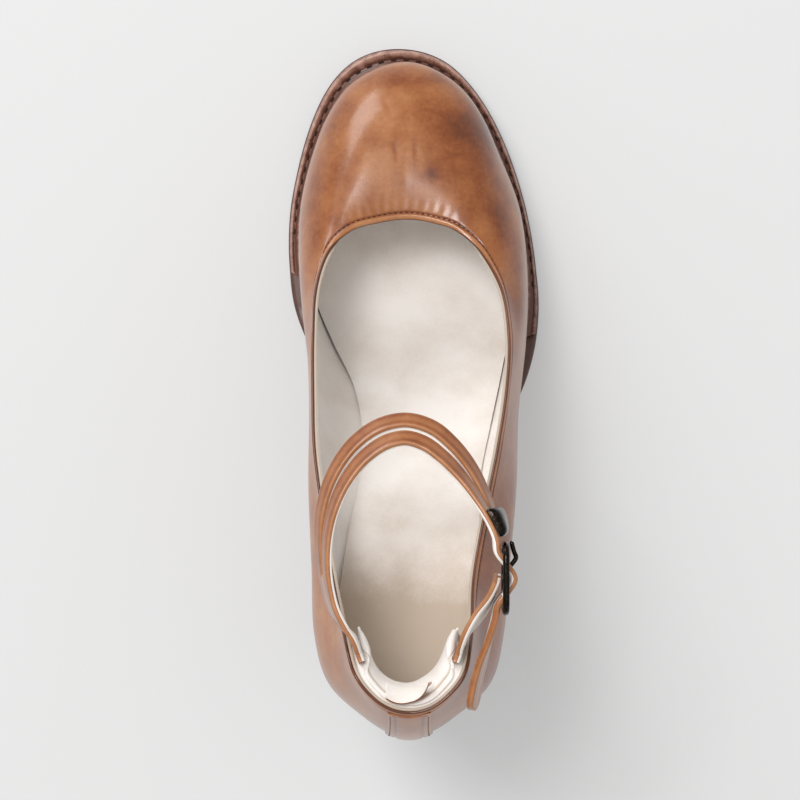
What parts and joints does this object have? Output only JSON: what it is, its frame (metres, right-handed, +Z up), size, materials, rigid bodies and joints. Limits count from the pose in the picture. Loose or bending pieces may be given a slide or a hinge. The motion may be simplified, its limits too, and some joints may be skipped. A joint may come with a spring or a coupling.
{
  "type": "closed-toe ankle-strap pump",
  "caption": "Right heeled pump with a closed round toe, a low foot opening, a stitched welt, a block heel and a split ankle strap with a buckle.",
  "frame": {"origin": "middle of the heel's tread, on the floor", "axes": "+X to the outer (lateral) side, +Y to the toe, +Z up"},
  "size_m": [0.0897, 0.2381, 0.1628],
  "materials": {
    "upper_leather": "burnished",
    "strap_leather": "burnished",
    "lining_leather": "matt",
    "welt_leather": "waxed",
    "sole_leather": "waxed edge",
    "heel_stack": "stacked, waxed",
    "top_piece_rubber": "matt",
    "dark_metal": "dark plated"
  },
  "bodies": {
    "root": {"upper": "upper_leather", "backstay": "upper_leather", "collar_lining": "lining_leather", "insole": "lining_leather", "welt": "welt_leather", "outsole": "sole_leather", "heel": "heel_stack", "heel_top_piece": "top_piece_rubber", "ankle_strap": "strap_leather", "buckle_strap": "strap_leather", "strap_keeper": "dark_metal", "buckle_frame": "dark_metal", "buckle_prong": "dark_metal"}
  },
  "joints": []
}
